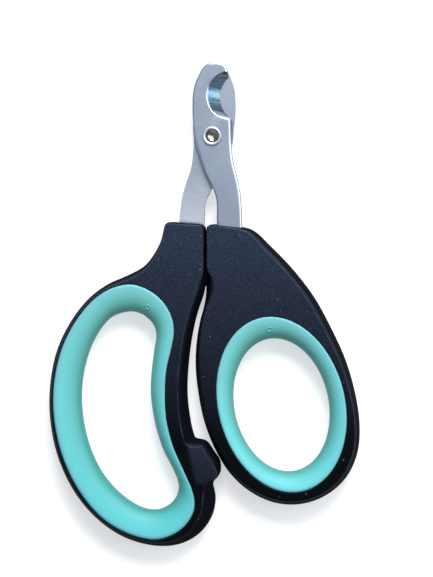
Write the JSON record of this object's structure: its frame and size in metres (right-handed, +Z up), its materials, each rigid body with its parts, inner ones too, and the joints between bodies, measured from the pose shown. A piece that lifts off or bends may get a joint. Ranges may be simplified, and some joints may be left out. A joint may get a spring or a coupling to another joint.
{
  "type": "pet nail trimmer",
  "caption": "Scissor-type pet nail trimmer: hooked stainless blades crossing at a hollow rivet, black moulded handles, soft-lined oval and bean-shaped finger loops, closed.",
  "frame": {"origin": "on the surface the trimmer lies on, under the middle of the closed trimmer's bounding box", "axes": "+X across the handles towards the oval loop, +Y from the finger loops to the blade tips, +Z up through the thickness, on the side where the rivet's rolled lip shows"},
  "size_m": [0.0835, 0.1299, 0.009],
  "materials": {
    "blade_steel": "fine satin, ground bright in the notch",
    "rivet_steel": "polished",
    "handle_plastic": "fine moulded grain",
    "grip_rubber": "smooth satin"
  },
  "bodies": {
    "left_half": {"left_handle": "handle_plastic", "left_finger_ring": "grip_rubber", "rear_blade": "blade_steel", "pivot_rivet": "rivet_steel"},
    "right_half": {"right_handle": "handle_plastic", "right_thumb_ring": "grip_rubber", "front_blade": "blade_steel"}
  },
  "joints": [
    {"name": "blade_pivot", "type": "hinge", "parent": "left_half", "child": "right_half", "pos_m": [0.0023, 0.04505, 0.0045], "axis": [0, 0, 1], "range_deg": [0, 50]}
  ]
}
